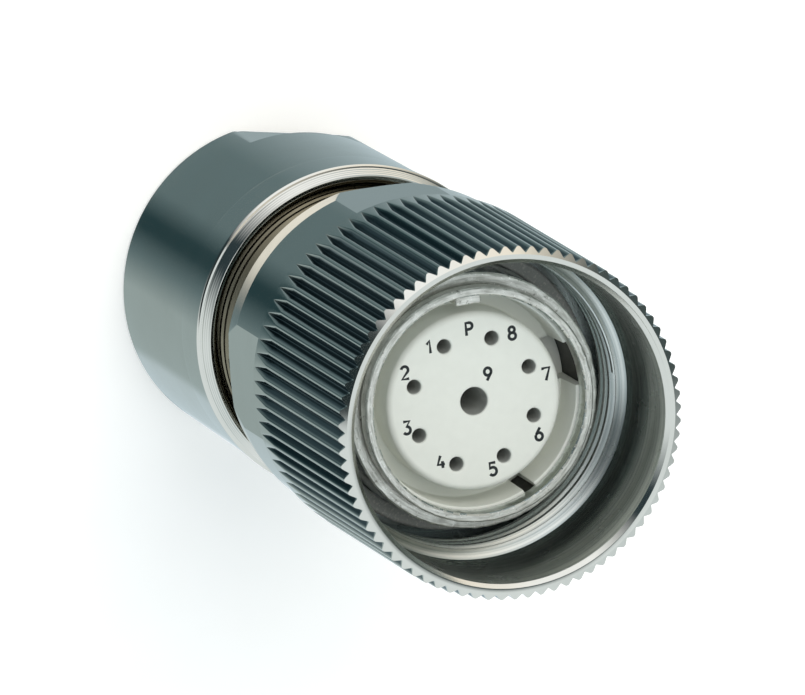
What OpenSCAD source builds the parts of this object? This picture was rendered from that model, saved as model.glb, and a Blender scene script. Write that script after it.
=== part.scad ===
// Circular cable connector with a knurled coupling nut, standing on its cable end.
// The axis is Z, the mating face looks up, and Z = 0 is the rear face of the clamp nut.

/* [Coupling nut] */
// Wall of the nut at its mouth, out to the crests of the knurl
mouth_wall = 1.2; // [1:0.05:1.6]
// Length of the nut
nut_len = 28.8; // [28:0.1:34]
// Length of the knurled stretch, from the mating end
knurl_len = 20.2; // [16:0.1:21]
// Number of knurl teeth
knurl_count = 80; // [60:1:96]
// Depth of a knurl groove
knurl_depth = 0.45; // [0.3:0.05:0.5]
// Width of the flat crest of a tooth
knurl_land = 0.2; // [0.1:0.05:0.3]
// Length over which the grooves run out at the back of the knurl
knurl_runout = 2.4; // [1:0.1:3]
// Radial step from the crests down to the smooth band behind the knurl
band_step = 0.4; // [0.3:0.05:0.5]
// Depth of the wrench flats on the band
nut_flat_depth = 0.6; // [0.3:0.05:0.7]
// Turn of the wrench flats about the axis
nut_flats_turn = -2; // [-45:1:45]
// Length of the tapered back end of the band
band_taper_len = 2.3; // [1:0.1:3]
// Radial drop of that taper
band_taper = 0.3; // [0.1:0.05:0.4]
// Radial step from the crests of the thread out to the plain mouth
mouth_step = 0.85; // [0.7:0.05:1]
// Depth of the plain mouth
mouth_depth = 8.95; // [8:0.05:10]
// Axial length of the cone that leads into the thread
lead_len = 1; // [0.6:0.1:1.4]
// Radial room for the sleeve's flange, which passes through the thread
flange_room = 0.35; // [0.2:0.05:0.5]
// Length of the thread
thread_len = 3.7; // [3:0.1:4.2]
// Thickness of the lip that bears on the sleeve's flange
lip_t = 2.8; // [2:0.1:3]

/* [Sleeve] */
// Height of the sleeve's rim above the bottom of the nut's plain mouth
rim_rise = 1.75; // [1.2:0.05:2.4]
// Wall of the nose behind the rim
nose_wall = 0.63; // [0.5:0.01:0.8]
// Length of the nose, back to the shoulder
nose_len = 1.55; // [1.2:0.05:2]
// Wall behind the shoulder
sleeve_wall = 1.4; // [1.3:0.02:1.6]
// Diameter of the bore at the rim, in front of the insert
sleeve_bore_d = 16.08; // [15:0.02:18]
// Radial height of the flange that carries the nut
flange_h = 1.16; // [1:0.02:1.4]
// Thickness of the flange
flange_t = 2.3; // [1.8:0.1:2.6]
// Width of the polarising key
key_w = 1.95; // [1.6:0.05:2.2]
// Length of the key, from just behind the rim
key_len = 2.2; // [2:0.1:2.6]
// Height of the key above the bore
key_h = 0.6; // [0.4:0.05:0.8]

/* [Insert and contacts] */
// Depth of the insert's face below the rim
face_depth = 1.3; // [1:0.05:1.8]
// Depth of the insert's collar below the rim
collar_depth = 1.6; // [1.2:0.05:2]
// Width of the moat between the disc that carries the contact holes and the collar
moat_w = 1.1; // [0.8:0.05:1.3]
// Depth of that moat
moat_depth = 3.4; // [2:0.1:4]
// Pitch circle diameter of the small contacts
contact_pcd = 9.5; // [9.2:0.1:9.8]
// Pin diameter that a small contact takes
pin_d = 1; // [0.8:0.05:1.1]
// Pin diameter that the centre contact takes
centre_pin_d = 2; // [1.6:0.05:2.2]
// Depth of a contact's socket
socket_depth = 7; // [5:0.1:7.5]

/* [Clamp nut and body] */
// Length of the clamp nut
clamp_len = 20; // [19:0.1:24]
// Wall of the clamp nut at its flared front, in to the thread
clamp_wall = 1.56; // [1.4:0.02:2]
// Radial drop of the flared front
flare_drop = 0.17; // [0.1:0.01:0.3]
// Radial drop of the tail behind the flare
tail_drop = 0.2; // [0:0.02:0.3]
// Length of the flared front
clamp_flare_len = 5.1; // [4:0.1:7]
// Depth of the wrench flats on the clamp nut
clamp_flat_depth = 0.9; // [0.5:0.05:1]
// Length of those flats
clamp_flats_len = 4.8; // [4:0.1:5.5]
// Turn of those flats about the axis
clamp_flats_turn = -12; // [-45:1:45]
// Radial room round the cable in the entry
entry_room = 1.4; // [1.2:0.05:1.6]
// Thickness of the rear wall
entry_wall = 2.9; // [2:0.1:3]
// Wall of the body, out to the crests of its thread
body_wall = 2.2; // [2:0.05:2.5]
// Radial step down to the neck in front of that thread
body_neck_step = 0.5; // [0.3:0.05:0.6]
// Space between the two nuts
nut_gap = 6; // [5.6:0.1:7]
// Wall of the clamping cage round the rubber seal
cage_wall = 2.1; // [1.6:0.05:2.4]
// Wall of the rubber seal, in to the cable
seal_wall = 1.16; // [0.9:0.02:1.4]

/* [Clearances] */
// Radial play of the coupling nut on the sleeve
run_gap = 0.07; // [0.03:0.01:0.1]
// Radial play of the clamp nut on the body's thread
screw_gap = 0.06; // [0.03:0.01:0.1]
// Gap between pieces that move past each other end to end
end_gap = 0.3; // [0.2:0.05:0.4]
// Gap between pieces that are pushed into one another
slip_gap = 0.04; // [0.02:0.01:0.08]

/* [Hidden] */
$fn = 128;
eps = 0.01;
big = 40;
over = 1;

// Levels along the axis, from the rear face up
z_nut = clamp_len + nut_gap;
z_front = z_nut + nut_len;
z_knurl = z_front - knurl_len;
z_step = z_front - mouth_depth;
z_thread = z_step - lead_len;
z_relief = z_thread - thread_len;
seal_t = 1.5;
z_flange_top = z_relief - end_gap - seal_t;
z_flange = z_flange_top - flange_t;
z_lip_top = z_flange - end_gap;
z_lip = z_lip_top - lip_t;
snap_t = 1;
z_snap = z_lip - end_gap - snap_t;
snap_land = 0.7;
z_joint = z_snap - snap_land;
tail_len = 5.4;
z_tail = z_joint - tail_len;
z_rim = z_step + rim_rise;
z_shoulder = z_rim - nose_len;
z_face = z_rim - face_depth;
z_collar = z_rim - collar_depth;
z_ledge = z_collar + slip_gap;
insert_front_t = 12.25;
z_split = z_face - insert_front_t;
insert_rear_t = 4.2;
z_insert = z_split - insert_rear_t;

// Radii of the sleeve, from its bore outward
edge = 0.25;
bore_r = sleeve_bore_d / 2;
sleeve_r = bore_r + sleeve_wall;
flange_r = sleeve_r + flange_h;
journal_step = 0.24;
journal_r = sleeve_r + journal_step;
snap_depth = 0.6;
snap_h = 1;
snap_r = journal_r + snap_h;
tail_step = 0.48;
tail_r = journal_r - tail_step;
ledge_w = 0.26;
tail_bore_r = bore_r + ledge_w;
o_ring_t = 1.1;
o_ring_depth = 0.45;
o_ring_back = 1.6;
z_o_ring = z_tail + o_ring_back;

// Radii of the body
fit_step = 0.1;
body_bore_r = tail_bore_r + fit_step;
body_r = body_bore_r + body_wall;
neck_r = body_r - body_neck_step;

// Radii of the coupling nut, which runs on the sleeve and reaches over the body's neck
lip_r = journal_r + run_gap;
thread_r = flange_r + flange_room;
relief_depth = 0.65;
relief_r = thread_r + relief_depth;
mouth_r = thread_r + mouth_step;
mouth_edge = 0.15;
nut_r = mouth_r + mouth_wall;
knurl_root_r = nut_r - knurl_depth;
runout_land = 0.3;
rim_chamfer = [0.55, 0.35];
band_r = nut_r - band_step;
nut_flats = 2 * (band_r - nut_flat_depth);
rear_room = 0.6;
rear_bore_r = body_r + rear_room;

// Radii of the insert and its contacts
insert_r = tail_bore_r - slip_gap;
collar_wall = [0.56, 0.41];
face_r = insert_r - collar_wall[0] - moat_w;
face_round = 0.4;
z_moat = z_face - moat_depth;
key_angle = -90;
key_play = 0.3;
key_notch_w = key_w + key_play;
contact_count = 8;
pitch_r = contact_pcd / 2;
skin_t = 0.15;
contact_back = 0.03;
contact_wall = 0.55;
collar_step = 0.35;
collar_t = 1;
crimp_len = 6;
crimp_wall = 0.3;
pin_gap = 0.02;
hole_gap = 0.05;

// Levels and radii of the clamp nut, body and clamping pieces
z_entry = entry_wall;
pressure_t = 1.4;
z_pressure = z_entry + end_gap / 3;
z_cage = z_pressure + pressure_t + end_gap;
cage_len = 8.2;
z_cage_top = z_cage + cage_len;
shield_t = 2.1;
z_shield_top = z_cage_top + slip_gap + shield_t;
z_spacer = z_shield_top + slip_gap;
spacer_len = z_insert - slip_gap - z_spacer;
cage_show = 5.2;
z_body = z_cage + cage_show;
neck_run = 4.5;
z_neck = z_nut - neck_run;
clamp_thread_r = body_r + screw_gap;
clamp_front_r = clamp_thread_r + clamp_wall;
clamp_mid_r = clamp_front_r - flare_drop;
clamp_rear_r = clamp_mid_r - tail_drop;
clamp_flats = 2 * (clamp_rear_r - clamp_flat_depth);
cavity_step = 0.2;
clamp_cavity_r = body_bore_r + cavity_step;
z_clamp_shoulder = z_body - end_gap;
clamp_counterbore = 0.85;
cage_r = body_bore_r - fit_step;
cage_bore_r = cage_r - cage_wall;
cage_slots = 8;
cage_slot_w = 1.2;
seal_r = cage_bore_r - slip_gap;
seal_bore_r = seal_r - seal_wall;
entry_r = seal_bore_r + entry_room;
pressure_step = 0.4;
spacer_r = tail_bore_r - fit_step;
spacer_wall = 1.2;
spacer_split = 0.2;
shield_room = 0.6;
shield_bore_r = seal_bore_r + shield_room;

nickel = "#8f9b9c";
brass = "#b59a5b";
ivory = "#e2e4dc";
rubber = "#3a3c3d";

// A turned piece, from half sections given as [radius, height] points
module turned(section) {
    rotate_extrude() polygon(section);
}

// A plain ring between two radii and two heights
module ring(inner_r, outer_r, low, high) {
    turned([[inner_r, low], [outer_r, low], [outer_r, high], [inner_r, high]]);
}

// A wrench flat pair or square: material kept between parallel faces
module across_flats(width, length, low, high) {
    translate([-width / 2, -length / 2, low]) cube([width, length, high - low]);
}

// One V groove of the knurl. The cutter lifts out at the back, so the groove ends in a pointed leaf
module knurl_groove() {
    half_angle = 180 / knurl_count - knurl_land / nut_r * 90 / PI;
    edge_r = nut_r * cos(half_angle);
    spread = nut_r * sin(half_angle) / (edge_r - knurl_root_r);
    reach = 1;
    lift = atan(knurl_depth / knurl_runout);
    z_full = z_knurl + runout_land + knurl_runout;
    translate([knurl_root_r, 0, z_full]) {
        linear_extrude(z_front - z_full + over)
            polygon([[0, 0], [reach, -reach * spread], [reach, reach * spread]]);
        rotate([0, 180 - lift, 0]) mirror([1, 0, 0]) linear_extrude(2 * knurl_runout)
            polygon([[0, 0], [reach * cos(lift), -reach * spread], [reach * cos(lift), reach * spread]]);
    }
}

module knurl() {
    difference() {
        translate([0, 0, z_knurl]) cylinder(r = nut_r, h = knurl_len);
        for (i = [0 : knurl_count - 1]) rotate([0, 0, (i + 0.5) * 360 / knurl_count]) knurl_groove();
    }
}

module flatted_band() {
    intersection() {
        translate([0, 0, z_nut]) cylinder(r = band_r, h = z_knurl - z_nut + eps);
        rotate([0, 0, nut_flats_turn]) across_flats(nut_flats, nut_flats, z_nut - over, z_front);
    }
}

// Outer limit of the nut: rear edge break, shallow rear taper and front chamfer
module nut_envelope() {
    taper_r = band_r - band_taper;
    out = nut_r + over;
    taper_rise = (out - taper_r) * band_taper_len / band_taper;
    chamfer_drop = (out - (nut_r - rim_chamfer[0])) * rim_chamfer[1] / rim_chamfer[0];
    turned([[0, z_nut], [taper_r - edge, z_nut], [taper_r, z_nut + edge], [out, z_nut + edge + taper_rise],
            [out, z_front - chamfer_drop], [nut_r - rim_chamfer[0], z_front], [0, z_front]]);
}

module coupling_nut() {
    color(nickel) difference() {
        intersection() {
            union() {
                knurl();
                flatted_band();
            }
            nut_envelope();
        }
        turned([[0, z_nut - over], [rear_bore_r, z_nut - over], [rear_bore_r, z_lip], [lip_r, z_lip],
                [lip_r, z_lip_top], [relief_r, z_lip_top], [relief_r, z_relief], [thread_r, z_relief],
                [thread_r, z_thread], [mouth_r, z_step], [mouth_r, z_front - mouth_edge],
                [mouth_r + mouth_edge + over, z_front + over], [0, z_front + over]]);
    }
}

// Split spring ring in the sleeve's groove, behind the lip of the nut
module nut_snap_ring() {
    gap_w = 2.4;
    color(nickel) difference() {
        ring(journal_r - snap_depth + slip_gap, snap_r, z_snap, z_snap + snap_t);
        translate([0, -gap_w / 2, z_snap - over]) cube([big, gap_w, snap_t + 2 * over]);
    }
}

module sleeve() {
    nose_r = bore_r + nose_wall;
    undercut = 0.2;
    undercut_len = 0.4;
    rim_edge = 0.12;
    groove_r = journal_r - snap_depth;
    color(nickel) {
        difference() {
            turned([[tail_bore_r, z_tail], [tail_r, z_tail], [tail_r, z_joint], [journal_r, z_joint],
                    [journal_r, z_snap - slip_gap], [groove_r, z_snap - slip_gap],
                    [groove_r, z_snap + snap_t + slip_gap], [journal_r, z_snap + snap_t + slip_gap],
                    [journal_r, z_flange], [flange_r, z_flange], [flange_r, z_flange_top],
                    [sleeve_r, z_flange_top], [sleeve_r, z_shoulder - rim_edge],
                    [sleeve_r - rim_edge, z_shoulder], [nose_r - undercut, z_shoulder],
                    [nose_r - undercut, z_shoulder + undercut_len], [nose_r, z_shoulder + undercut_len],
                    [nose_r, z_rim - rim_edge], [nose_r - rim_edge, z_rim],
                    [bore_r + rim_edge, z_rim], [bore_r, z_rim - rim_edge],
                    [bore_r, z_ledge], [tail_bore_r, z_ledge]]);
            ring(tail_r - o_ring_depth, tail_r + over, z_o_ring, z_o_ring + o_ring_t);
        }
        rotate([0, 0, key_angle]) translate([bore_r - key_h, -key_w / 2, z_rim - key_len])
            cube([key_h + ledge_w + slip_gap, key_w, key_len - rim_edge]);
    }
}

module face_seal() {
    color(rubber) turned([[sleeve_r + slip_gap, z_flange_top], [flange_r, z_flange_top],
                          [flange_r, z_flange_top + seal_t - edge],
                          [flange_r - edge, z_flange_top + seal_t],
                          [sleeve_r + slip_gap, z_flange_top + seal_t]]);
}

module body() {
    socket_r = tail_r + slip_gap;
    socket_play = 0.2;
    z_socket = z_tail - socket_play;
    color(nickel) turned([[body_bore_r, z_body], [body_r - edge, z_body], [body_r, z_body + edge],
                          [body_r, z_neck - edge], [body_r - edge, z_neck], [neck_r, z_neck],
                          [neck_r, z_joint - edge], [neck_r - edge, z_joint],
                          [socket_r, z_joint], [socket_r, z_socket], [body_bore_r, z_socket]]);
}

module body_o_ring() {
    inner = tail_r - o_ring_depth + slip_gap;
    color(rubber) ring(inner, tail_r, z_o_ring + slip_gap, z_o_ring + o_ring_t - slip_gap);
}

// Place a child at each contact's position; the ninth stands in the centre
function contact_at(n) =
    n > contact_count ? [0, 0, 0]
    : let (a = key_angle + 360 / contact_count * (n - 0.5)) pitch_r * [cos(a), sin(a), 0];
function pin_of(n) = n > contact_count ? centre_pin_d : pin_d;
function contact_r(n) = pin_of(n) / 2 + contact_wall;
function contact_collar_r(n) = contact_r(n) + collar_step;

module contact(n) {
    r = contact_r(n);
    collar_r = contact_collar_r(n);
    top = z_face - skin_t - contact_back;
    bottom = z_insert - crimp_len;
    color(nickel) translate(contact_at(n)) difference() {
        turned([[0, bottom], [r, bottom], [r, z_split], [collar_r, z_split], [collar_r, z_split + collar_t],
                [r, z_split + collar_t], [r, top], [0, top]]);
        translate([0, 0, top - socket_depth]) cylinder(r = pin_of(n) / 2 + pin_gap, h = socket_depth + over);
        translate([0, 0, bottom - over]) cylinder(r = r - crimp_wall, h = crimp_len);
    }
}

module contact_cavities() {
    for (n = [1 : contact_count + 1]) translate(contact_at(n)) {
        translate([0, 0, z_face - skin_t - over])
            cylinder(r = pin_of(n) / 2 + hole_gap, h = skin_t + 2 * over);
        translate([0, 0, z_split - over])
            cylinder(r = contact_r(n) + slip_gap, h = z_face - skin_t - z_split + over);
        translate([0, 0, z_split - over])
            cylinder(r = contact_collar_r(n) + slip_gap, h = collar_t + slip_gap + over);
    }
}

// Slot through the wall of the collar, down to a given depth
module collar_slot(angle, width, depth, from_r) {
    rotate([0, 0, angle]) translate([from_r, -width / 2, z_collar - depth])
        cube([insert_r, width, depth + over]);
}

// A disc with the contact holes, a moat round it, and a collar that stops behind the sleeve's rim
module insert_front() {
    collar_foot_r = insert_r - collar_wall[0];
    collar_top_r = insert_r - collar_wall[1];
    slot_floor = 1.2;
    slot_depth = z_collar - z_moat + slot_floor;
    slot_from_r = face_r + moat_w / 3;
    wide_slot_angle = key_angle - 79.5;
    wide_slot_w = 3.35;
    narrow_slot_angle = key_angle - 153.7;
    narrow_slot_w = 0.95;
    face_corner = [for (a = [0 : 15 : 90])
        [face_r - face_round * (1 - cos(a)), z_face - face_round * (1 - sin(a))]];
    color(ivory) difference() {
        turned([[0, z_split], [insert_r, z_split], [insert_r, z_collar], [collar_top_r, z_collar],
                [collar_foot_r, z_moat], [face_r, z_moat], each face_corner, [0, z_face]]);
        contact_cavities();
        collar_slot(wide_slot_angle, wide_slot_w, slot_depth, slot_from_r);
        collar_slot(narrow_slot_angle, narrow_slot_w, slot_depth, slot_from_r);
        collar_slot(key_angle, key_notch_w, key_len - collar_depth + key_play, slot_from_r);
    }
}

module insert_rear() {
    color(ivory) difference() {
        ring(0, insert_r, z_insert, z_split);
        for (n = [1 : contact_count + 1]) translate(contact_at(n) + [0, 0, z_insert - over])
            cylinder(r = contact_r(n) + slip_gap, h = insert_rear_t + 2 * over);
    }
}

// Split tube between the shield ring and the insert
module spacer_half(side) {
    color(ivory) intersection() {
        ring(spacer_r - spacer_wall, spacer_r, z_spacer, z_spacer + spacer_len);
        rotate([0, 0, side * 180]) translate([-big / 2, spacer_split / 2, 0]) cube([big, big, big * 2]);
    }
}

module shield_ring() {
    cone = 1.2;
    low = z_cage_top + slip_gap;
    color(brass) turned([[shield_bore_r, low], [cage_r, low], [cage_r, low + shield_t],
                         [shield_bore_r + cone, low + shield_t], [shield_bore_r, low + shield_t - cone]]);
}

// Collet with fingers that point to the cable end
module clamp_cage() {
    base = 2.6;
    straight = 2;
    finger_taper = 0.8;
    color(ivory) difference() {
        turned([[cage_bore_r, z_cage], [cage_r - finger_taper, z_cage], [cage_r, z_cage_top - base - straight],
                [cage_r, z_cage_top], [cage_bore_r, z_cage_top]]);
        for (i = [0 : cage_slots - 1]) rotate([0, 0, i * 360 / cage_slots])
            translate([0, -cage_slot_w / 2, z_cage - over]) cube([big, cage_slot_w, cage_len - base + over]);
    }
}

module cable_seal() {
    mouth = 0.6;
    low = z_cage + 0.3;
    high = z_cage_top - 0.3;
    color(rubber) turned([[seal_bore_r + mouth, low], [seal_r, low], [seal_r, high],
                          [seal_bore_r + mouth, high], [seal_bore_r, high - mouth],
                          [seal_bore_r, low + mouth]]);
}

module pressure_ring() {
    color(brass) ring(entry_r, cage_r - pressure_step, z_pressure, z_pressure + pressure_t);
}

module clamp_nut() {
    z_flare = clamp_len - clamp_flare_len;
    bead_len = 1.15;
    bead_round = 0.25;
    bead_drop = 0.2;
    groove = [0.28, 0.15];
    nose = [0.7, 0.25];
    nose_draft = 0.1;
    z_bead = clamp_len - bead_len;
    groove_r = clamp_front_r - groove[0];
    nose_r = clamp_front_r - nose[0];
    counterbore_step = 0.35;
    counterbore_r = clamp_thread_r + counterbore_step;
    lead_in = 0.3;
    color(nickel) difference() {
        turned([[entry_r + edge, 0], [clamp_rear_r - edge, 0], [clamp_rear_r, edge], [clamp_mid_r, z_flare],
                [clamp_front_r, z_bead], [clamp_front_r - bead_drop, z_bead + bead_round],
                [groove_r, z_bead + bead_round], [groove_r, z_bead + bead_round + groove[1]],
                [nose_r + nose_draft, clamp_len - nose[1]], [nose_r, clamp_len],
                [counterbore_r, clamp_len], [counterbore_r, clamp_len - clamp_counterbore],
                [clamp_thread_r, clamp_len - clamp_counterbore - lead_in],
                [clamp_thread_r, z_clamp_shoulder], [clamp_cavity_r, z_clamp_shoulder],
                [clamp_cavity_r, z_entry], [entry_r, z_entry], [entry_r, edge]]);
        difference() {
            translate([0, 0, -over]) cylinder(r = clamp_rear_r + over, h = clamp_flats_len + over);
            rotate([0, 0, clamp_flats_turn]) across_flats(big, clamp_flats, -2 * over, clamp_flats_len + over);
        }
    }
}

coupling_nut();
nut_snap_ring();
sleeve();
face_seal();
body();
body_o_ring();
insert_front();
insert_rear();
contact(1);  // contact_1
contact(2);  // contact_2
contact(3);  // contact_3
contact(4);  // contact_4
contact(5);  // contact_5
contact(6);  // contact_6
contact(7);  // contact_7
contact(8);  // contact_8
contact(9);  // contact_9
spacer_half(0);  // spacer_half_a
spacer_half(1);  // spacer_half_b
shield_ring();
clamp_cage();
cable_seal();
pressure_ring();
clamp_nut();
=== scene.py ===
# %% [markdown]
# A circular cable connector
# The part is a metal cable connector that stands on its cable end: a knurled coupling nut in front,
# a plain clamp nut behind, and a white contact carrier inside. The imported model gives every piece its
# place and size. This lesson dresses those pieces: it turns, knurls and threads them finely enough for
# mirror-bright plating, prints the contact numbers, and sets up the light and the camera.

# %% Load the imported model
import bpy, bmesh, math
from cmath import phase, rect
from mathutils import Matrix, Vector, noise


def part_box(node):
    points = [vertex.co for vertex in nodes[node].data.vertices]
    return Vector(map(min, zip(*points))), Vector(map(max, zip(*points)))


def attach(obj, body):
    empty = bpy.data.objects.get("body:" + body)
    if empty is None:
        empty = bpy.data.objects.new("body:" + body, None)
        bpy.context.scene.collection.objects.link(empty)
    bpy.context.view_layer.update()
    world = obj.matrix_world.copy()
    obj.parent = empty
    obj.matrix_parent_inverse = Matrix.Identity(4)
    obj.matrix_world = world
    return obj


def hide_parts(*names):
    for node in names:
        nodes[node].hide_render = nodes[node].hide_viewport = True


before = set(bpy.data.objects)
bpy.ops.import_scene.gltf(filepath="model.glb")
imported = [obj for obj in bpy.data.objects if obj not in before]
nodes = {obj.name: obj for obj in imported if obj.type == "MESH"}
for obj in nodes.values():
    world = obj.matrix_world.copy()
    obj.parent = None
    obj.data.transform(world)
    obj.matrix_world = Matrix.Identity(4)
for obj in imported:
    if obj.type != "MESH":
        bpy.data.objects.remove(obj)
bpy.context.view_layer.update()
MM, UM = 0.001, 1e-6
Z_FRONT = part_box("coupling_nut")[1].z / MM
Z_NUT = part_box("coupling_nut")[0].z / MM
Z_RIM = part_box("sleeve")[1].z / MM
print("nodes", len(nodes), "front", round(Z_FRONT, 2), "mm, rim", round(Z_RIM, 2), "mm")


# %% [markdown]
# Helpers for finishes
# A few helpers serve every finish. Colours are written as sRGB hex values, as a paint chart gives them, and
# Blender works in linear light, so they are converted. Another helper adds a node to any tree, with its
# settings and its links, so that a tree reads as a list of what is connected to what. A new material starts
# from the object's own coordinates in metres, so that a pattern keeps its size and moves with its piece.

# %% Colour and node helpers
def linear(hex_colour):
    channels = [int(hex_colour[i:i + 2], 16) / 255 for i in (1, 3, 5)]
    return [c / 12.92 if c <= 0.04045 else ((c + 0.055) / 1.055) ** 2.4 for c in channels]


def rgba(hex_colour):
    return (*linear(hex_colour), 1)


def add(tree, kind, inputs=None, **settings):
    node = tree.nodes.new(kind)
    for name, value in settings.items():
        setattr(node, name, value)
    for key, value in (inputs or {}).items():
        if isinstance(value, bpy.types.NodeSocket):
            tree.links.new(value, node.inputs[key])
        else:
            node.inputs[key].default_value = value
    return node


def new_material(name):
    material = bpy.data.materials.new(name)
    material.use_nodes = True
    tree = material.node_tree
    tree.nodes.clear()
    return material, tree, add(tree, "ShaderNodeTexCoord").outputs["Object"]


print("middle grey in linear light", round(linear("#808080")[0], 3))


# %% [markdown]
# Bright nickel plating
# The housing is turned brass with bright nickel plating, a mirror with a slightly warm tint. On a lathe-turned
# surface the tool leaves fine rings, and a bump of a fraction of a micrometre stands for them. The rings are a
# noise that depends only on the radius and the height of a point. Real rings are about 0.05 mm apart, too fine
# to show here, so they are drawn 0.15 mm apart. Slow patches of handling haze change the roughness. In the
# knurl, the tint darkens from the crests down into the grooves: painted shade. Bored surfaces look brushed: coarser
# rings stripe the tint, and the highlight is drawn out along them. The thread between the two nuts is darker and
# browner, a painted shade for the gap between them.

# %% Nickel plating
NICKEL_TINT, HAZED_TINT = "#d4d3cc", "#cbcac2"
NICKEL = linear(NICKEL_TINT)
HAZE_MM = 3
# The painted shade in the knurl's grooves fades out between these heights, so the front chamfer stays bright
GROOVE_SHADE_TOP, UNSHADED_FROM = Z_FRONT - 0.5, Z_FRONT - 0.35


def nickel_plating(name, colour, stain, ring_mm, ring_depth_um, gloss, haze, groove_shade=None, brushed=0.0):
    material, tree, place = new_material(name)
    flat = add(tree, "ShaderNodeVectorMath", {0: place, 1: (1, 1, 0)}, operation="MULTIPLY").outputs[0]
    radius = add(tree, "ShaderNodeVectorMath", {0: flat}, operation="LENGTH").outputs["Value"]
    height = add(tree, "ShaderNodeSeparateXYZ", {0: place}).outputs["Z"]
    section = add(tree, "ShaderNodeCombineXYZ", {"X": radius, "Y": height}).outputs[0]
    rings = add(tree, "ShaderNodeTexNoise", {"Vector": section, "Scale": 1 / (ring_mm * MM), "Detail": 3.0},
                noise_dimensions="2D").outputs["Fac"]
    hazes = add(tree, "ShaderNodeTexNoise", {
        "Vector": place, "Scale": 1 / (HAZE_MM * MM), "Detail": 4.0}).outputs["Fac"]
    rough = add(tree, "ShaderNodeMapRange", {
        "Value": hazes, "From Min": 0.3, "From Max": 0.75, "To Min": gloss, "To Max": gloss + haze}).outputs[0]
    stained = hazes
    if brushed:
        stained = add(tree, "ShaderNodeMapRange", {"Value": rings, "From Min": 0.35, "From Max": 0.65}).outputs[0]
    tint = add(tree, "ShaderNodeMix", {0: stained, 6: rgba(colour), 7: rgba(stain)}, data_type="RGBA").outputs[2]
    # Painted shade: the tint darkens from the crests down into the knurl's grooves and fades out at the front chamfer
    if groove_shade:
        shade_colour, shade_start_mm, full_mm = groove_shade
        depth = add(tree, "ShaderNodeMapRange", {
            "Value": radius, "From Min": shade_start_mm * MM, "From Max": full_mm * MM}).outputs[0]
        below = add(tree, "ShaderNodeMapRange", {
            "Value": height, "From Min": GROOVE_SHADE_TOP * MM, "From Max": UNSHADED_FROM * MM,
            "To Min": 1.0, "To Max": 0.0}).outputs[0]
        shaded = add(tree, "ShaderNodeMath", {0: depth, 1: below}, operation="MULTIPLY").outputs[0]
        tint = add(tree, "ShaderNodeMix", {0: shaded, 6: tint, 7: rgba(shade_colour)}, data_type="RGBA").outputs[2]
    bump = add(tree, "ShaderNodeBump", {
        "Height": rings, "Strength": 1.0, "Distance": ring_depth_um * UM}).outputs[0]
    inputs = {"Base Color": tint, "Metallic": 1.0, "Roughness": rough, "Normal": bump}
    if brushed:
        around = add(tree, "ShaderNodeVectorMath", {0: (0, 0, 1), 1: flat}, operation="CROSS_PRODUCT").outputs[0]
        around = add(tree, "ShaderNodeVectorTransform", {0: around},
                     convert_from="OBJECT", convert_to="WORLD").outputs[0]
        inputs |= {"Anisotropic": brushed, "Tangent": around}
    shader = add(tree, "ShaderNodeBsdfPrincipled", inputs).outputs[0]
    add(tree, "ShaderNodeOutputMaterial", {"Surface": shader})
    return material


# Painted shade in the knurl's grooves: its colour, the radius where it starts and the radius where it is full, in mm
KNURL_GROOVE_SHADE = ("#4a5a5f", 12.97, 12.82)
BRIGHT = nickel_plating("bright_nickel_turned", NICKEL_TINT, HAZED_TINT, ring_mm=0.15, ring_depth_um=0.25,
                        gloss=0.07, haze=0.08)
KNURLED = nickel_plating("bright_nickel_knurled", NICKEL_TINT, HAZED_TINT, ring_mm=0.15, ring_depth_um=0.25,
                         gloss=0.09, haze=0.08, groove_shade=KNURL_GROOVE_SHADE)
BORED = nickel_plating("bored_nickel_brushed", "#d2d6d2", "#aab2b0", ring_mm=0.22, ring_depth_um=3.0,
                       gloss=0.24, haze=0.05, brushed=0.75)
# Painted shade: a darker, browner tint for the body's thread in the gap between the two nuts
SHADED_THREAD = nickel_plating("threaded_nickel_painted_shade", "#8f8a78", "#6b6656", ring_mm=0.2, ring_depth_um=2.5,
                         gloss=0.22, haze=0.1)
print("nickel tint", [round(c, 2) for c in NICKEL])


# %% [markdown]
# Worn nickel
# The rim of the sleeve has been plugged many times. Its plating is scuffed: cream metal with small dull pits and
# pale specks, and fine scores that run round the rim. The scores are a noise that is drawn out along the angle
# about the axis; the pits and the specks are noises cut off hard. The rim is set a little less than fully
# metallic, which softens its mirror.

# %% Worn nickel rim
SCORE_MM, SCORE_DEPTH_MM, PIT_MM, SPECK_MM = 0.14, 0.012, 0.4, 0.2
# Millimetres of noise for each radian round the rim; the true arc is eight times as long, which draws scores out
SCORE_ARC_MM = 1.0


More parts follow.
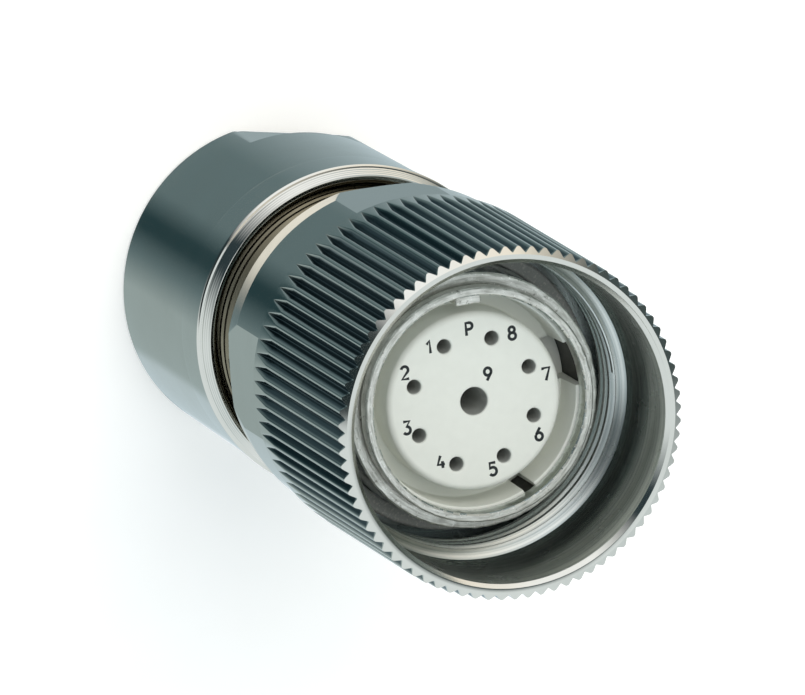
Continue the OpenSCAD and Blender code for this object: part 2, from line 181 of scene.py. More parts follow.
def worn_nickel():
    material, tree, place = new_material("worn_nickel_scuffed")
    axes = add(tree, "ShaderNodeSeparateXYZ", {0: place}).outputs
    flat = add(tree, "ShaderNodeVectorMath", {0: place, 1: (1, 1, 0)}, operation="MULTIPLY").outputs[0]
    radius = add(tree, "ShaderNodeVectorMath", {0: flat}, operation="LENGTH").outputs["Value"]
    angle = add(tree, "ShaderNodeMath", {0: axes["Y"], 1: axes["X"]}, operation="ARCTAN2").outputs[0]
    along = add(tree, "ShaderNodeMath", {0: angle, 1: SCORE_ARC_MM * MM}, operation="MULTIPLY").outputs[0]
    wound = add(tree, "ShaderNodeCombineXYZ", {"X": radius, "Y": axes["Z"], "Z": along}).outputs[0]
    scores = add(tree, "ShaderNodeTexNoise", {
        "Vector": wound, "Scale": 1 / (SCORE_MM * MM), "Detail": 4.0}).outputs["Fac"]
    coarse = add(tree, "ShaderNodeTexNoise", {
        "Vector": place, "Scale": 1 / (PIT_MM * MM), "Detail": 4.0, "Roughness": 0.6}).outputs["Fac"]
    fine = add(tree, "ShaderNodeTexNoise", {
        "Vector": place, "Scale": 1 / (SPECK_MM * MM), "Detail": 2.0}).outputs["Fac"]
    scored = add(tree, "ShaderNodeMapRange", {
        "Value": scores, "From Min": 0.3, "From Max": 0.55, "To Min": 1.0, "To Max": 0.0}).outputs[0]
    pits = add(tree, "ShaderNodeMapRange", {
        "Value": coarse, "From Min": 0.30, "From Max": 0.38, "To Min": 0.8, "To Max": 0.0}).outputs[0]
    specks = add(tree, "ShaderNodeMapRange", {"Value": fine, "From Min": 0.64, "From Max": 0.70}).outputs[0]
    tint = rgba("#dbdad2")
    for mask, colour in ((scored, "#b5b4ab"), (pits, "#7d7b72"), (specks, "#f4f2ec")):
        tint = add(tree, "ShaderNodeMix", {0: mask, 6: tint, 7: rgba(colour)}, data_type="RGBA").outputs[2]
    rough = add(tree, "ShaderNodeMapRange", {
        "Value": scores, "From Min": 0.3, "From Max": 0.7, "To Min": 0.5, "To Max": 0.25}).outputs[0]
    bump = add(tree, "ShaderNodeBump", {
        "Height": scores, "Strength": 1.0, "Distance": SCORE_DEPTH_MM * MM}).outputs[0]
    shader = add(tree, "ShaderNodeBsdfPrincipled", {
        "Base Color": tint, "Metallic": 0.85, "Roughness": rough, "Normal": bump}).outputs[0]
    add(tree, "ShaderNodeOutputMaterial", {"Surface": shader})
    return material


WORN = worn_nickel()
print("worn nickel", len(WORN.node_tree.nodes), "nodes")


# %% [markdown]
# Moulded and soft materials
# The contact carrier is glass-filled PBT, an off-white moulding plastic with a faint mottle. The seals are
# nitrile rubber, matt and dark inside, while the front one is pale grey with dust. The print is matt ink.
# One function makes them all: a base colour, a mottle of a real size, and specks where the surface has them.

# %% PBT, rubber and ink
DUST_MM = 0.16


def moulded(name, colour, mottle_colour, mottle_mm, roughness, bump_um, speck=None):
    material, tree, place = new_material(name)
    mottle = add(tree, "ShaderNodeTexNoise", {
        "Vector": place, "Scale": 1 / (mottle_mm * MM), "Detail": 4.0}).outputs["Fac"]
    tint = add(tree, "ShaderNodeMix", {0: mottle, 6: rgba(colour), 7: rgba(mottle_colour)},
               data_type="RGBA").outputs[2]
    if speck:
        dust = add(tree, "ShaderNodeTexNoise", {
            "Vector": place, "Scale": 1 / (DUST_MM * MM), "Detail": 2.0}).outputs["Fac"]
        mask = add(tree, "ShaderNodeMapRange", {"Value": dust, "From Min": 0.56, "From Max": 0.66}).outputs[0]
        tint = add(tree, "ShaderNodeMix", {0: mask, 6: tint, 7: rgba(speck)}, data_type="RGBA").outputs[2]
    rough = add(tree, "ShaderNodeMapRange", {
        "Value": mottle, "To Min": roughness - 0.06, "To Max": roughness + 0.06}).outputs[0]
    bump = add(tree, "ShaderNodeBump", {"Height": mottle, "Strength": 1.0, "Distance": bump_um * UM}).outputs[0]
    shader = add(tree, "ShaderNodeBsdfPrincipled", {
        "Base Color": tint, "Roughness": rough, "Normal": bump}).outputs[0]
    add(tree, "ShaderNodeOutputMaterial", {"Surface": shader})
    return material


PBT = moulded("white_pbt_moulded", "#e4e6de", "#dddfd7", mottle_mm=0.8, roughness=0.48, bump_um=2.0)
RUBBER = moulded("nitrile_rubber_matt", "#2b2d2e", "#3a3c3c", mottle_mm=0.5, roughness=0.75, bump_um=8.0)
DUSTY = moulded("nitrile_rubber_dusty", "#b8bab5", "#c3c4be", mottle_mm=0.5, roughness=0.7, bump_um=15.0,
                speck="#dad9d2")
INK = moulded("pad_print_ink_black", "#171b1d", "#23282a", mottle_mm=0.2, roughness=0.6, bump_um=1.0)
print("moulded finishes", [finish.name for finish in (PBT, RUBBER, DUSTY, INK)])


# %% [markdown]
# Silver and brass
# The contacts are turned brass with silver plating. It is set to a quarter metallic, matched to the grey of the
# holes in the photograph rather than to clean silver. The clamping rings are bare turned brass. The bore that
# holds the carrier is coloured near black, a painted shade for its deep recess. One small function makes all three.

# %% Silver, brass and the bore's painted shade
TARNISH_MM, TOOL_RING_MM, TOOL_RING_UM = 0.9, 0.12, 2


def turned_metal(name, colour, stain, roughness, metallic=1.0):
    material, tree, place = new_material(name)
    haze = add(tree, "ShaderNodeTexNoise", {
        "Vector": place, "Scale": 1 / (TARNISH_MM * MM), "Detail": 4.0}).outputs["Fac"]
    height = add(tree, "ShaderNodeSeparateXYZ", {0: place}).outputs["Z"]
    rings = add(tree, "ShaderNodeTexNoise", {"W": height, "Scale": 1 / (TOOL_RING_MM * MM)},
                noise_dimensions="1D").outputs["Fac"]
    tint = add(tree, "ShaderNodeMix", {0: haze, 6: rgba(colour), 7: rgba(stain)}, data_type="RGBA").outputs[2]
    rough = add(tree, "ShaderNodeMapRange", {
        "Value": haze, "To Min": roughness, "To Max": roughness + 0.15}).outputs[0]
    bump = add(tree, "ShaderNodeBump", {
        "Height": rings, "Strength": 1.0, "Distance": TOOL_RING_UM * UM}).outputs[0]
    shader = add(tree, "ShaderNodeBsdfPrincipled", {
        "Base Color": tint, "Metallic": metallic, "Roughness": rough, "Normal": bump}).outputs[0]
    add(tree, "ShaderNodeOutputMaterial", {"Surface": shader})
    return material


SILVER = turned_metal("silver_plated_brass", "#c6c8c3", "#b2b4af", roughness=0.5, metallic=0.25)
BRASS = turned_metal("bare_brass_turned", "#b99a52", "#8f7335", roughness=0.28)
# Painted shade: the bore round the carrier is coloured near black where it lies deep in shade
BORE_SHADE = turned_metal("bore_nickel_painted_shade", "#34352f", "#20211d", roughness=0.35)
print("metal finishes", [finish.name for finish in (SILVER, BRASS, BORE_SHADE)])


# %% [markdown]
# Turning a piece
# A turned piece is a half section spun about the axis. The section is a list of radius and height in
# millimetres, and a third number rounds that corner, because no real edge is perfectly sharp and the small
# rounding is what catches the light. Flats are milled afterwards: points are moved in to a plane.

# %% Turning helpers
# Points closer than this, in metres, become one
WELD = 2e-7


def soften(section, step=math.radians(11)):
    out = []
    for i, corner in enumerate(section):
        here = complex(*corner[:2])
        if len(corner) == 2:
            out.append(here)
            continue
        before, after = complex(*section[i - 1][:2]), complex(*section[(i + 1) % len(section)][:2])
        u, v = (before - here) / abs(before - here), (after - here) / abs(after - here)
        half = abs(phase(v / u)) / 2
        centre = here + (u + v) / abs(u + v) * corner[2] / math.sin(half)
        first = here + u * corner[2] / math.tan(half) - centre
        turn = phase((here + v * corner[2] / math.tan(half) - centre) / first)
        count = max(2, math.ceil(abs(turn) / step))
        out += [centre + first * rect(1, turn * k / count) for k in range(count + 1)]
    return [(p.real, p.imag) for p in out]


def mesh_of(name, bm):
    mesh = bpy.data.meshes.new(name)
    bm.to_mesh(mesh)
    bm.free()
    return mesh


def placed(name, data):
    obj = bpy.data.objects.new(name, data)
    bpy.context.scene.collection.objects.link(obj)
    return obj


def shade(mesh, sharp_deg):
    mesh.shade_smooth()
    mesh.set_sharp_from_angle(angle=math.radians(sharp_deg))


def finish_mesh(mesh, material, sharp_deg=14):
    mesh.materials.clear()
    for one in (material if isinstance(material, list) else [material]):
        mesh.materials.append(one)
    shade(mesh, sharp_deg)


def piece(name, mesh, body, replaced=()):
    obj = placed(name, mesh)
    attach(obj, body)
    if replaced:
        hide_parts(*replaced)
    print(name, "faces", len(mesh.polygons))


def turned_mesh(name, section, columns=256, at=(0.0, 0.0), shape=None):
    rows = soften(section)
    bm = bmesh.new()
    grid = []
    for r, z in rows:
        ring = []
        for c in range(columns):
            a = 2 * math.pi * c / columns
            point = Vector((r * math.cos(a), r * math.sin(a), z))
            if shape:
                point = shape(point)
            ring.append(bm.verts.new((point + Vector((*at, 0))) * MM))
        grid.append(ring)
    for i, ring in enumerate(grid):
        below = grid[i - 1]
        for c in range(columns):
            bm.faces.new((below[c], below[c - 1], ring[c - 1], ring[c]))
    bmesh.ops.remove_doubles(bm, verts=bm.verts, dist=WELD)
    bmesh.ops.dissolve_degenerate(bm, edges=bm.edges, dist=WELD / 2)
    bmesh.ops.recalc_face_normals(bm, faces=bm.faces)
    return mesh_of(name, bm)


print("points of a rounded square corner", len(soften([(0, 0), (1, 0, 0.1), (1, 1)])) - 2)


# %% [markdown]
# The clamp nut
# This is the plain rear nut. Its barrel swells slightly to the front, where a broad chamfer with turned
# rings ends it. Two short wrench flats are milled at the cable end. The section follows the solid model,
# with small roundings added.

# %% Clamp nut
CLAMP_FLAT, CLAMP_FLAT_TOP, CLAMP_FLAT_TURN = 10.95, 4.8, math.radians(-12)
# The step from flat to barrel: two rows of points this far apart
FLAT_STEP = 0.001


def clamp_flats(point):
    if point.z > CLAMP_FLAT_TOP - FLAT_STEP / 10:
        return point
    turned = Matrix.Rotation(-CLAMP_FLAT_TURN, 3, "Z") @ point
    turned.y = max(-CLAMP_FLAT, min(CLAMP_FLAT, turned.y))
    return Matrix.Rotation(CLAMP_FLAT_TURN, 3, "Z") @ turned


Z_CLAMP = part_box("clamp_nut")[1].z / MM
clamp_section = [
    (6.65, 0.0, 0.1), (11.6, 0.0, 0.1), (11.85, 0.25, 0.1),
    (11.912, CLAMP_FLAT_TOP - FLAT_STEP), (11.912, CLAMP_FLAT_TOP),
    (12.046, Z_CLAMP - 5.24), (12.047, Z_CLAMP - 5.14), (12.056, Z_CLAMP - 5.06), (12.06, Z_CLAMP - 4.96),
    (12.213, Z_CLAMP - 1.3), (12.22, Z_CLAMP - 1.15, 0.1), (12.08, Z_CLAMP - 1.05, 0.04),
    # Turned rings on the front chamfer
    (11.93, Z_CLAMP - 1.0, 0.03), (11.93, Z_CLAMP - 0.9, 0.03), (12.03, Z_CLAMP - 0.82, 0.03),
    (11.93, Z_CLAMP - 0.74, 0.03), (11.93, Z_CLAMP - 0.66, 0.03), (11.90, Z_CLAMP - 0.58, 0.02),
    (11.83, Z_CLAMP - 0.52, 0.02), (11.80, Z_CLAMP - 0.43, 0.02), (11.73, Z_CLAMP - 0.37, 0.02),
    (11.70, Z_CLAMP - 0.28, 0.02), (11.62, Z_CLAMP - 0.2, 0.03), (11.56, Z_CLAMP - 0.02, 0.04),
    # Front edge, bore and cable entry
    (11.5, Z_CLAMP, 0.02), (11.27, Z_CLAMP, 0.05), (11.02, Z_CLAMP - 0.2, 0.05), (11.01, Z_CLAMP - 0.85),
    (10.66, Z_CLAMP - 1.15), (10.66, 9.6), (8.6, 9.6), (8.6, 2.9), (6.4, 2.9, 0.2), (6.4, 0.25, 0.1)]
clamp_mesh = turned_mesh("clamp_nut_turned", clamp_section, 360, shape=clamp_flats)
finish_mesh(clamp_mesh, BRIGHT)
piece("clamp_nut_turned", clamp_mesh, "clamp", ["clamp_nut"])


# %% [markdown]
# The coupling nut, one tooth at a time
# The nut's knurl is eighty equal V grooves that run straight along it. So one tooth's sector is drawn, from
# groove to groove and all round the nut's section, and a Geometry Nodes tree repeats it about the axis.
# At the front a chamfer cuts the teeth, and each column of points meets it at its own height. At the back the
# cutter lifts out, so a groove gets shallower and narrower together and ends in a pointed leaf.

# %% Section of one tooth
TEETH, CREST_R, ROOT_R = 80, 13.0, 12.55
KNURL_BACK, LEAF_LAND, RUNOUT = Z_FRONT - 20.2, 0.3, 2.4
BAND_R, BAND_FLAT = 12.6, 12.0
TAPER = [(BAND_R, 28.55), (12.3, 26.25), (12.05, Z_NUT)]
CHAMFER_R, CHAMFER_SLOPE = 12.45, 0.35 / 0.55
half_pitch = math.pi / TEETH
CREST_HALF = 0.1
groove_half = half_pitch - CREST_HALF / CREST_R
# From the groove's middle to the crest: share of the half width, and share of the depth, with rounded corners
GROOVE = [(0, 0.94), (0.06, 0.92), (0.14, 0.86), (0.5, 0.5), (0.80, 0.20), (0.88, 0.128), (0.95, 0.073),
          (1.02, 0.032), (1.10, 0.008), (1.17, 0.0)]


def tooth_row(depth_share):
    width, depth = groove_half * depth_share, (CREST_R - ROOT_R) * depth_share
    flank = [(-half_pitch + width * s, CREST_R - depth * d) for s, d in GROOVE]
    return flank + [(-a, r) for a, r in reversed(flank)]


def on_sector(angle, r, z):
    return Vector((r * math.cos(angle), r * math.sin(angle), z)) * MM


bore_section = soften([
    TAPER[-1], (11.2, Z_NUT, 0.1), (11.2, 33.95), (9.75, 33.95, 0.1), (9.75, 36.75, 0.1), (11.6, 36.75),
    (11.6, 41.15), (11.5, 41.15), (11.5, 45.2), (10.98, 45.4, 0.05), (11.8, 45.85, 0.08),
    (11.8, Z_FRONT - 0.32, 0.03), (12.08, Z_FRONT - 0.06), (12.11, Z_FRONT - 0.02), (12.17, Z_FRONT)],
    step=math.radians(18))
print("points across a tooth", 2 * len(GROOVE), "points along the bore", len(bore_section))


# %% Sector of one tooth
# Heights of the rows along the knurl, and the depth that a groove keeps, row by row, as the cutter lifts out
KNURL_ROWS = (50.0, 44.0)
RUNOUT_SHARES, RUNOUT_BEND = (1.0, 0.9, 0.75, 0.6, 0.45, 0.3, 0.15, 0.02), 1.25
# The band behind the knurl, the rows down each part of the taper, and the polished edge of the mouth
BACK_EDGE, BAND_LOW, TAPER_STEPS, POLISHED = 0.06, 31.4, (12, 4), 0.25


def tooth_sector():
    bm = bmesh.new()
    zone = bm.faces.layers.bool.new("bore")
    full = tooth_row(1.0)
    rows = [[(a, CHAMFER_R, Z_FRONT) for a, r in full],
            [(a, r, Z_FRONT - (r - CHAMFER_R) * CHAMFER_SLOPE) for a, r in full]]
    rows += [[(a, r, z) for a, r in full] for z in KNURL_ROWS]
    leaf_tip = KNURL_BACK + LEAF_LAND
    for share in RUNOUT_SHARES:
        rows.append([(a, r, leaf_tip + RUNOUT * share ** RUNOUT_BEND) for a, r in tooth_row(share)])
    even = [half_pitch * (2 * i / (len(full) - 1) - 1) for i in range(len(full))]
    band = [(CREST_R, KNURL_BACK + BACK_EDGE), (CREST_R - BACK_EDGE, KNURL_BACK), (BAND_R, KNURL_BACK - 0.02),
            (BAND_R, BAND_LOW)]
    for (r, z), (r_end, z_end), steps in zip(TAPER, TAPER[1:], TAPER_STEPS):
        band += [(r + (r_end - r) * k / steps, z + (z_end - z) * k / steps) for k in range(steps)]
    rows += [[(a, r, z) for a in even] for r, z in band + TAPER[-1:]]
    skin = [[bm.verts.new(on_sector(*point)) for point in row] for row in rows]
    for upper, lower in zip(skin, skin[1:]):
        for i in range(len(upper) - 1):
            bm.faces.new((upper[i], upper[i + 1], lower[i + 1], lower[i]))
    fan = [half_pitch * (k / 2 - 1) for k in range(5)]
    wall = [[bm.verts.new(on_sector(a, r, z)) for a in fan] for r, z in bore_section[1:]]
    for upper, lower in zip(wall, wall[1:]):
        for i in range(len(fan) - 1):
            bored = lower[i].co.z < (Z_FRONT - POLISHED) * MM
            bm.faces.new((upper[i], upper[i + 1], lower[i + 1], lower[i]))[zone] = bored
    bm.faces.new(skin[0][::-1] + wall[-1])
    bm.faces.new(skin[-1] + wall[0][::-1])
    return mesh_of("tooth_sector", bm)


sector = bpy.data.objects.new("tooth_sector", tooth_sector())
print("sector faces", len(sector.data.polygons))


# %% [markdown]
# The tree that goes round
# A point on the axis stands for each tooth and carries a copy of the sector, each turned one step further, and
# the copies are welded into one skin. After that the four wrench flats are milled: below the knurl no point may
# lie further out than a flat. The flats stand at an angle, so the point is turned into their frame, limited, and
# turned back.

# %% Tree for the knurled nut
def group_with(name, sockets):
    tree = bpy.data.node_groups.new(name, "GeometryNodeTree")
    for label, kind in sockets:
        tree.interface.new_socket(label, in_out="INPUT", socket_type="NodeSocket" + kind)
    tree.interface.new_socket("Geometry", in_out="OUTPUT", socket_type="NodeSocketGeometry")
    return tree, add(tree, "NodeGroupInput").outputs


nut_tree, given = group_with("sector_round_axis", [
    ("Sector", "Object"), ("Count", "Int"), ("Flat distance", "Float"), ("Flats below", "Float"),
    ("Flats turn", "Float"), ("Outside finish", "Material"), ("Knurl finish", "Material"),
    ("Bore finish", "Material")])
shape = add(nut_tree, "GeometryNodeObjectInfo", {"Object": given["Sector"]}).outputs["Geometry"]
points = add(nut_tree, "GeometryNodePoints", {"Count": given["Count"]}).outputs[0]
step = add(nut_tree, "ShaderNodeMath", {0: 2 * math.pi, 1: given["Count"]}, operation="DIVIDE").outputs[0]
index = add(nut_tree, "GeometryNodeInputIndex").outputs[0]
angle = add(nut_tree, "ShaderNodeMath", {0: index, 1: step}, operation="MULTIPLY").outputs[0]
turn = add(nut_tree, "ShaderNodeCombineXYZ", {"Z": angle}).outputs[0]
copies = add(nut_tree, "GeometryNodeInstanceOnPoints", {
    "Points": points, "Instance": shape, "Rotation": turn}).outputs[0]
skin = add(nut_tree, "GeometryNodeRealizeInstances", {"Geometry": copies}).outputs[0]
skin = add(nut_tree, "GeometryNodeMergeByDistance", {"Geometry": skin, "Distance": WELD}).outputs[0]
here = add(nut_tree, "GeometryNodeInputPosition").outputs[0]
back_turn = add(nut_tree, "ShaderNodeMath", {0: given["Flats turn"], 1: -1.0}, operation="MULTIPLY").outputs[0]
square = add(nut_tree, "ShaderNodeVectorRotate", {"Vector": here, "Angle": back_turn},
             rotation_type="Z_AXIS").outputs[0]
far = add(nut_tree, "ShaderNodeCombineXYZ", {
    "X": given["Flat distance"], "Y": given["Flat distance"], "Z": 1.0}).outputs[0]
near = add(nut_tree, "ShaderNodeVectorMath", {0: far, "Scale": -1.0}, operation="SCALE").outputs[0]
limited = add(nut_tree, "ShaderNodeVectorMath", {0: square, 1: far}, operation="MINIMUM").outputs[0]
limited = add(nut_tree, "ShaderNodeVectorMath", {0: limited, 1: near}, operation="MAXIMUM").outputs[0]
milled = add(nut_tree, "ShaderNodeVectorRotate", {"Vector": limited, "Angle": given["Flats turn"]},
             rotation_type="Z_AXIS").outputs[0]
height = add(nut_tree, "ShaderNodeSeparateXYZ", {0: here}).outputs["Z"]
low = add(nut_tree, "FunctionNodeCompare", {0: height, 1: given["Flats below"]}, operation="LESS_THAN").outputs[0]
inside = add(nut_tree, "GeometryNodeInputNamedAttribute", {"Name": "bore"}, data_type="BOOLEAN").outputs["Attribute"]
skin = add(nut_tree, "GeometryNodeSetPosition", {"Geometry": skin, "Selection": low, "Position": milled}).outputs[0]
high = add(nut_tree, "FunctionNodeCompare", {0: height, 1: given["Flats below"]}, operation="GREATER_THAN").outputs[0]
for where, label in ((True, "Outside finish"), (high, "Knurl finish"), (inside, "Bore finish")):
    skin = add(nut_tree, "GeometryNodeSetMaterial", {
        "Geometry": skin, "Selection": where, "Material": given[label]}).outputs[0]
add(nut_tree, "NodeGroupOutput", {"Geometry": skin})
print("nodes in the nut's tree", len(nut_tree.nodes))


# %% [markdown]
# From tree to mesh
# A modifier's inputs are set by their socket identifiers before the object is first evaluated. The evaluated
# result becomes a plain mesh, and the object that held the tree is removed, so that only finished meshes ride on
# the bodies.

# %% Run a tree
def grown(name, tree, values):
    holder = placed(name + "_holder", bpy.data.meshes.new(name + "_holder"))
    modifier = holder.modifiers.new("grow", "NODES")
    modifier.node_group = tree
    names = {s.name: s.identifier for s in tree.interface.items_tree if s.in_out == "INPUT"}
    for label, value in values.items():
        modifier[names[label]] = value
    evaluated = holder.evaluated_get(bpy.context.evaluated_depsgraph_get())
    mesh = bpy.data.meshes.new_from_object(evaluated)
    mesh.name = name
    holder.modifiers.clear()
    bpy.data.objects.remove(holder)
    return mesh


def face_outward(mesh):
    bm = bmesh.new()
    bm.from_mesh(mesh)
    bmesh.ops.recalc_face_normals(bm, faces=bm.faces)
    bm.to_mesh(mesh)
    bm.free()


def crease_below(mesh, top, sharp_deg):
    bm = bmesh.new()
    bm.from_mesh(mesh)
    for edge in bm.edges:
        is_low = edge.is_manifold and max(v.co.z for v in edge.verts) < top * MM
        if is_low and edge.calc_face_angle() > math.radians(sharp_deg):
            edge.smooth = False
    bm.to_mesh(mesh)
    bm.free()


FLATS_TOP, FLATS_TURN = KNURL_BACK - 0.01, math.radians(-2)
nut_mesh = grown("coupling_nut_knurled", nut_tree, {
    "Sector": sector, "Count": TEETH, "Flat distance": BAND_FLAT * MM, "Flats below": FLATS_TOP * MM,
    "Flats turn": FLATS_TURN, "Outside finish": BRIGHT, "Knurl finish": KNURLED, "Bore finish": BORED})
face_outward(nut_mesh)
shade(nut_mesh, sharp_deg=20)
crease_below(nut_mesh, FLATS_TOP, sharp_deg=6)
piece("coupling_nut_knurled", nut_mesh, "coupling", ["coupling_nut"])


# %% [markdown]
# Screw threads
# A thread is a ridge that climbs a helix. A Geometry Nodes tree sweeps a blunt triangle along a spiral curve.
# The coupling nut has such a ridge on the inside, and the body has one on the outside, where the clamp nut
# runs; a sign turns the ridge inward or outward.

# %% Tree for threads
# Points in a turn, and the width of the ridge at its foot and at its tip as shares of the pitch
TURN_STEPS, FOOT_SHARE, TIP_SHARE = 144, 0.96, 0.4


def end_tree(tree, solid, height, finish):
    lift = add(tree, "ShaderNodeCombineXYZ", {"Z": height}).outputs[0]
    solid = add(tree, "GeometryNodeTransform", {"Geometry": solid, "Translation": lift}).outputs[0]
    solid = add(tree, "GeometryNodeRealizeInstances", {"Geometry": solid}).outputs[0]
    solid = add(tree, "GeometryNodeSetMaterial", {"Geometry": solid, "Material": finish}).outputs[0]
    add(tree, "NodeGroupOutput", {"Geometry": solid})


thread_tree, given = group_with("thread_ridge", [
    ("Radius", "Float"), ("Pitch", "Float"), ("Turns", "Float"), ("Depth", "Float"), ("Facing", "Vector"),
    ("Low end", "Float"), ("Finish", "Material")])
rise = add(thread_tree, "ShaderNodeMath", {0: given["Pitch"], 1: given["Turns"]}, operation="MULTIPLY").outputs[0]
helix = add(thread_tree, "GeometryNodeCurveSpiral", {
    "Resolution": TURN_STEPS, "Rotations": given["Turns"], "Start Radius": given["Radius"],
    "End Radius": given["Radius"], "Height": rise}).outputs[0]
helix = add(thread_tree, "GeometryNodeSetCurveNormal", {"Curve": helix}, mode="Z_UP").outputs[0]
foot = add(thread_tree, "ShaderNodeMath", {0: given["Pitch"], 1: FOOT_SHARE}, operation="MULTIPLY").outputs[0]
tip = add(thread_tree, "ShaderNodeMath", {0: given["Pitch"], 1: TIP_SHARE}, operation="MULTIPLY").outputs[0]
ridge = add(thread_tree, "GeometryNodeCurvePrimitiveQuadrilateral", {
    "Bottom Width": foot, "Top Width": tip, "Height": given["Depth"], "Offset": 0.0}, mode="TRAPEZOID").outputs[0]
ridge = add(thread_tree, "GeometryNodeTransform", {"Geometry": ridge, "Rotation": given["Facing"]}).outputs[0]
solid = add(thread_tree, "GeometryNodeCurveToMesh", {
    "Curve": helix, "Profile Curve": ridge, "Fill Caps": True}).outputs[0]
end_tree(thread_tree, solid, given["Low end"], given["Finish"])


def thread(name, body, crest_r, root_r, pitch, turns, low, finish):
    mesh = grown(name, thread_tree, {
        "Radius": (crest_r + root_r) / 2 * MM, "Depth": abs(crest_r - root_r) * MM, "Pitch": pitch * MM,
        "Turns": turns, "Low end": low * MM, "Finish": finish,
        "Facing": (0, 0, math.copysign(math.pi / 2, crest_r - root_r))})
    face_outward(mesh)
    shade(mesh, sharp_deg=25)
    reach = [Vector((v.co.x, v.co.y)).length / MM for v in mesh.vertices]
    print(name, "radius", round(min(reach), 2), "to", round(max(reach), 2))
    piece(name, mesh, body)


thread("coupling_thread_ridge", "coupling", crest_r=10.95, root_r=11.55, pitch=1.04, turns=3.5, low=41.5,
       finish=BORED)
thread("body_thread_ridge", "housing", crest_r=10.6, root_r=10.0, pitch=1.0, turns=11.0, low=10.4,
       finish=SHADED_THREAD)


# %% [markdown]
# The sleeve
# The sleeve is the front housing inside the nut. Its rim is worn, so the rim's rings of points are dented a
# little with a noise before the finish goes on. The small key at the rim polarises the plug.

# %% Sleeve
# How far down from the rim it is dented, how deep, and how many waves of dents there are to a millimetre
DENTED_DROP, DENT, SLOW_WAVE, FAST_WAVE = 2.2, 0.05, 1.6, 4.3


def dent(point):
    if point.z < Z_RIM - DENTED_DROP:
        return point
    wave = noise.noise(point * SLOW_WAVE) * 0.5 + noise.noise(point * FAST_WAVE) * 0.5
    return point + Vector((point.x, point.y, 0)).normalized() * wave * DENT + Vector((0, 0, wave * DENT))


sleeve_section = [
    (8.3, 26.55, 0.08), (9.2, 26.55, 0.08), (9.2, 28.15), (8.75, 28.15), (8.75, 29.25), (9.2, 29.25), (9.2, 31.95),
    (9.68, 31.95, 0.06), (9.68, 32.61), (9.08, 32.61), (9.08, 33.69), (9.68, 33.69, 0.05), (9.68, 37.05),
    (10.6, 37.05, 0.1), (10.6, 39.35, 0.1), (9.44, 39.35), (9.44, Z_RIM - 1.67, 0.06), (9.32, Z_RIM - 1.55, 0.05),
    (8.47, Z_RIM - 1.55), (8.47, Z_RIM - 1.15), (8.67, Z_RIM - 1.15, 0.05), (8.67, Z_RIM - 0.12, 0.06),
    (8.55, Z_RIM, 0.06), (8.16, Z_RIM, 0.06), (8.04, Z_RIM - 0.12, 0.06), (8.04, Z_RIM - 1.56, 0.05),
    (8.3, Z_RIM - 1.56)]
sleeve_mesh = turned_mesh("sleeve_turned", sleeve_section, 384, shape=dent)
finish_mesh(sleeve_mesh, [BORED, WORN, BORE_SHADE])
# Limits of the worn rim and of the bore's painted shade, each as a drop from the rim and a radius
WORN_DROP, WORN_R, BORE_DROP, BORE_R = 1.75, 8.1, 1.5, 8.4
for face in sleeve_mesh.polygons:
    r, drop = face.center.xy.length / MM, Z_RIM - face.center.z / MM
    is_worn, is_bore = drop < WORN_DROP and r > WORN_R, drop > BORE_DROP and r < BORE_R
    face.material_index = 1 if is_worn else 2 if is_bore else 0
piece("sleeve_turned", sleeve_mesh, "housing", ["sleeve"])

KEY_MIDDLE, KEY_SIZE, KEY_ROUND = Vector((0, -7.88, Z_RIM - 1.16)), (1.95, 0.88, 2.08), 0.16
key = bmesh.new()
bmesh.ops.create_cube(key, size=1.0, matrix=Matrix.Translation(KEY_MIDDLE * MM)
                      @ Matrix.Diagonal((*[side * MM for side in KEY_SIZE], 1)))
bmesh.ops.bevel(key, geom=key.edges[:], offset=KEY_ROUND * MM, segments=4, profile=0.5, affect="EDGES")
key_mesh = mesh_of("sleeve_key", key)
finish_mesh(key_mesh, WORN, sharp_deg=40)
piece("sleeve_key", key_mesh, "housing")


# %% [markdown]
# The contact carrier
# The carrier is one moulding: a disc with nine holes, a moat round it and a collar. It is turned like the
# metal pieces, and a Boolean modifier then takes out the holes and slots, which are drawn as one cutter.

# %% Carrier and its cutters
Z_FACE, Z_COLLAR = Z_RIM - 1.3, Z_RIM - 1.6
Z_SPLIT = 34.05
# Eight pins of 1 mm on a circle round one of 2 mm
RING_R, RING_START, RING_STEP, PIN_R, LARGE_PIN_R = 4.75, -112.5, 45, 0.5, 1.0
ring_angles = [math.radians(RING_START + RING_STEP * n) for n in range(1, 9)]
CONTACTS = [(RING_R * math.cos(a), RING_R * math.sin(a), PIN_R) for a in ring_angles] + [(0.0, 0.0, LARGE_PIN_R)]
# Slots in the collar, each with its angle in degrees, width and depth; the last one clears the key
SLOTS = ((-169.5, 3.35, 4.3), (116.3, 0.95, 4.3), (-90, 2.25, 0.9))
SLOT_FROM, SLOT_LENGTH, SLOT_OVER = 6.62, 8, 1


